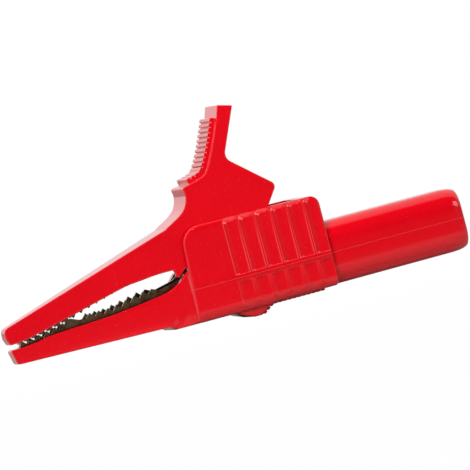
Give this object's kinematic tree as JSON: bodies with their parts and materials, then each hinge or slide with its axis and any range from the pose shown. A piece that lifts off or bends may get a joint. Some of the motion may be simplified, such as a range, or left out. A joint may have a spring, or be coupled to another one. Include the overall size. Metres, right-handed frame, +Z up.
{
  "type": "test clip",
  "caption": "Insulated crocodile test clip: sprung toothed jaws under a fluted housing with a ribbed thumb lever, and a shrouded socket at the back for a test lead plug.",
  "frame": {"origin": "on the middle plane, under the middle of the length, at the level of the finger bump's lowest point; the jaws' pivot axis is above it, 0.4 mm towards the nose", "axes": "+X along the barrel to the socket's mouth, so the jaws' nose points to -X; +Y across to the far side; +Z up to the thumb lever"},
  "size_m": [0.0892, 0.0156, 0.0398],
  "materials": {
    "red_plastic": "gloss, moulded",
    "nickel_plated_steel": "dull nickel plate, cut edges brighter",
    "spring_steel": "drawn wire",
    "nickel_plated_brass": "bright nickel plate"
  },
  "bodies": {
    "body": {"body_housing": "red_plastic", "lower_jaw": "nickel_plated_steel", "socket_tube": "nickel_plated_brass", "contact_rivet": "nickel_plated_brass", "pivot_pin": "nickel_plated_steel", "torsion_spring": "spring_steel"},
    "lever": {"lever_housing": "red_plastic", "upper_jaw": "nickel_plated_steel"}
  },
  "joints": [
    {"name": "jaw_pivot", "type": "hinge", "parent": "body", "child": "lever", "pos_m": [-0.0004, 0, 0.0132], "axis": [0, 1, 0], "range_deg": [0, 25], "stiffness_Nm_per_rad": 0.23, "springref_deg": -37.24, "deforming": ["torsion_spring"]}
  ]
}
